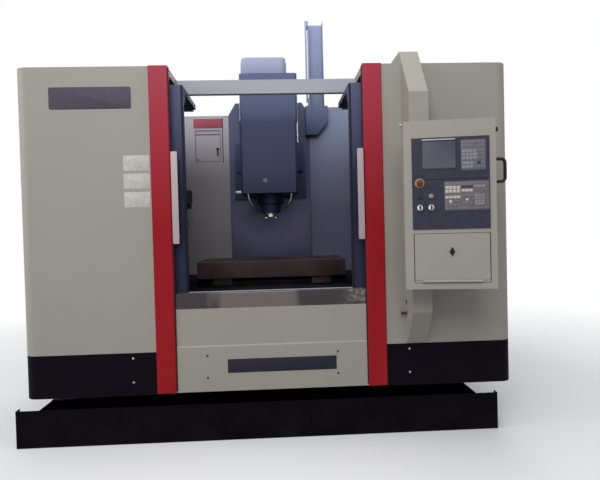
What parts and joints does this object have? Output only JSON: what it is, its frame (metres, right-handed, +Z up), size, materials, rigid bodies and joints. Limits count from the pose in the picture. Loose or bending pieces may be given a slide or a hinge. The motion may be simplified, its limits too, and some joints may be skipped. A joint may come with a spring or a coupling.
{
  "type": "cnc machining center",
  "caption": "Enclosed vertical machining centre: sliding doors, cross table, spindle head, tool magazine and swivelling control box over a coolant tank.",
  "frame": {"origin": "on the floor, under the middle of the machine's overall box", "axes": "+Z up, +X to the operator's right along the table's T-slots, +Y from the front to the column"},
  "size_m": [2.756, 2.4754, 2.89],
  "materials": {
    "base_paint": "dark painted iron casting",
    "black_paint": "black powder coat",
    "column_paint": "dark blue painted iron casting",
    "cream_paint": "textured cream powder coat",
    "dark_lens": "dark lens",
    "dark_metal": "dark painted steel",
    "disc_alu": "machined aluminium",
    "fascia_black": "black film on aluminium",
    "foot_steel": "zinc plated steel",
    "galvanised": "light grey painted sheet",
    "ground_steel": "ground guide rail",
    "latch_black": "black moulded plastic",
    "motor_black": "satin black paint",
    "navy_paint": "navy powder coat",
    "oiled_iron": "machined iron with a brown oil film",
    "pane": "clear safety glazing",
    "pink_lens": "pale red lens",
    "pump_blue": "blue enamel",
    "red_paint": "gloss red powder coat",
    "ring_yellow": "yellow plastic",
    "saddle_iron": "painted casting",
    "screen": "screen and membrane keys",
    "silver_bar": "anodised bar",
    "spindle_steel": "ground spindle steel",
    "stainless": "polished stainless sheet",
    "stop_red": "red plastic",
    "white_plastic": "white plastic"
  },
  "bodies": {
    "frame": {"base_casting": "base_paint", "leveling_feet": "foot_steel", "column_casting": "column_paint", "guide_rails": "ground_steel", "z_motor": "motor_black", "left_front_panel": "cream_paint", "right_front_panel": "cream_paint", "kick_panels": "black_paint", "door_posts": "red_paint", "lower_front_panel": "cream_paint", "sill_strip": "stainless", "left_side_panel": "cream_paint", "right_side_panel": "cream_paint", "left_roof": "cream_paint", "right_roof": "cream_paint", "door_rails": "cream_paint", "left_rear_guard": "galvanised", "right_rear_guard": "galvanised", "chip_pans": "stainless", "coolant_tank": "black_paint", "coolant_pump": "pump_blue", "cable_duct": "cream_paint", "electrical_cabinet": "cream_paint", "cable_track_guide": "dark_metal", "magazine_bracket": "dark_metal", "fixed_way_covers": "stainless"},
    "hatch": {"rear_hatch": "galvanised"},
    "cabinet_door": {"cabinet_door": "cream_paint"},
    "left_door": {"door_left": "navy_paint", "door_left_window": "pane", "door_left_handle": "silver_bar"},
    "right_door": {"door_right": "navy_paint", "door_right_window": "pane", "door_right_handle": "silver_bar"},
    "saddle": {"saddle": "saddle_iron", "x_rails": "ground_steel", "saddle_covers": "stainless"},
    "table": {"table": "oiled_iron", "x_cover_inner": "stainless"},
    "left_x_cover": {"x_cover_mid_left": "stainless"},
    "right_x_cover": {"x_cover_mid_right": "stainless"},
    "y_cover": {"y_cover_mid": "stainless"},
    "head": {"headstock": "navy_paint", "spindle_motor": "motor_black", "z_cover_upper": "stainless"},
    "spindle": {"spindle": "spindle_steel"},
    "magazine_carriage": {"magazine_carriage": "dark_metal"},
    "magazine_disc": {"magazine_disc": "disc_alu"},
    "control_box": {"control_box": "cream_paint", "control_fascia": "fascia_black", "screen_and_keys": "screen", "pendant_handle": "latch_black", "e_stop_ring": "ring_yellow"},
    "storage_door": {"storage_door": "cream_paint"},
    "storage_latch": {"storage_latch": "latch_black"},
    "e_stop": {"e_stop": "stop_red"},
    "start_button": {"start_button": "pink_lens"},
    "stop_button": {"stop_button": "dark_lens"},
    "mode_knob": {"mode_knob": "white_plastic"},
    "key_switch": {"key_switch": "white_plastic"}
  },
  "joints": [
    {"name": "saddle_slide", "type": "slide", "parent": "frame", "child": "saddle", "axis": [0, 1, 0], "range_m": [-0.25, 0.25]},
    {"name": "table_slide", "type": "slide", "parent": "saddle", "child": "table", "axis": [1, 0, 0], "range_m": [-0.4, 0.4]},
    {"name": "left_x_cover_slide", "type": "slide", "parent": "saddle", "child": "left_x_cover", "axis": [1, 0, 0], "range_m": [-0.2, 0.2]},
    {"name": "right_x_cover_slide", "type": "slide", "parent": "saddle", "child": "right_x_cover", "axis": [1, 0, 0], "range_m": [-0.2, 0.2]},
    {"name": "y_cover_slide", "type": "slide", "parent": "frame", "child": "y_cover", "axis": [0, 1, 0], "range_m": [-0.125, 0.125]},
    {"name": "head_slide", "type": "slide", "parent": "frame", "child": "head", "axis": [0, 0, 1], "range_m": [-0.18, 0.32]},
    {"name": "spindle_spin", "type": "hinge", "parent": "head", "child": "spindle", "pos_m": [0.028, 0.0377, 1.3], "axis": [0, 0, 1], "continuous": true},
    {"name": "left_door_slide", "type": "slide", "parent": "frame", "child": "left_door", "axis": [1, 0, 0], "range_m": [0, 0.4595]},
    {"name": "right_door_slide", "type": "slide", "parent": "frame", "child": "right_door", "axis": [-1, 0, 0], "range_m": [0, 0.4595]},
    {"name": "hatch_hinge", "type": "hinge", "parent": "frame", "child": "hatch", "pos_m": [-0.6, 0.6377, 1.863], "axis": [0, 0, 1], "range_deg": [0, 100]},
    {"name": "cabinet_door_hinge", "type": "hinge", "parent": "frame", "child": "cabinet_door", "pos_m": [1.309, 1.0387, 1.17], "axis": [0, 0, -1], "range_deg": [0, 110]},
    {"name": "control_box_swivel", "type": "hinge", "parent": "frame", "child": "control_box", "pos_m": [0.818, -1.0343, 1.26], "axis": [0, 0, 1], "range_deg": [-40, 30]},
    {"name": "storage_door_hinge", "type": "hinge", "parent": "control_box", "child": "storage_door", "pos_m": [0.92366, -1.20677, 0.883], "axis": [0.9848, -0.1736, 0], "range_deg": [0, 95]},
    {"name": "storage_latch_turn", "type": "hinge", "parent": "storage_door", "child": "storage_latch", "pos_m": [0.92478, -1.20037, 1.029], "axis": [-0.1736, -0.9848, 0], "range_deg": [0, 90]},
    {"name": "e_stop_press", "type": "slide", "parent": "control_box", "child": "e_stop", "axis": [0.1736, 0.9848, 0], "range_m": [0, 0.004], "stiffness_N_per_m": 800},
    {"name": "start_button_press", "type": "slide", "parent": "control_box", "child": "start_button", "axis": [0.1736, 0.9848, 0], "range_m": [0, 0.004], "stiffness_N_per_m": 500},
    {"name": "stop_button_press", "type": "slide", "parent": "control_box", "child": "stop_button", "axis": [0.1736, 0.9848, 0], "range_m": [0, 0.004], "stiffness_N_per_m": 500},
    {"name": "mode_knob_turn", "type": "hinge", "parent": "control_box", "child": "mode_knob", "pos_m": [0.77608, -1.17414, 1.248], "axis": [-0.1736, -0.9848, 0], "range_deg": [-60, 60]},
    {"name": "key_switch_turn", "type": "hinge", "parent": "control_box", "child": "key_switch", "pos_m": [0.82926, -1.18352, 1.248], "axis": [-0.1736, -0.9848, 0], "range_deg": [0, 90]},
    {"name": "magazine_slide", "type": "slide", "parent": "frame", "child": "magazine_carriage", "axis": [1, 0, 0], "range_m": [0, 0.608]},
    {"name": "magazine_spin", "type": "hinge", "parent": "magazine_carriage", "child": "magazine_disc", "pos_m": [-0.842, 0.0377, 1.24], "axis": [0, 0, 1], "continuous": true}
  ],
  "couplings": [
    {"joint": "left_x_cover_slide", "follows": "table_slide", "ratio": 0.5},
    {"joint": "right_x_cover_slide", "follows": "table_slide", "ratio": 0.5},
    {"joint": "y_cover_slide", "follows": "saddle_slide", "ratio": 0.5}
  ]
}
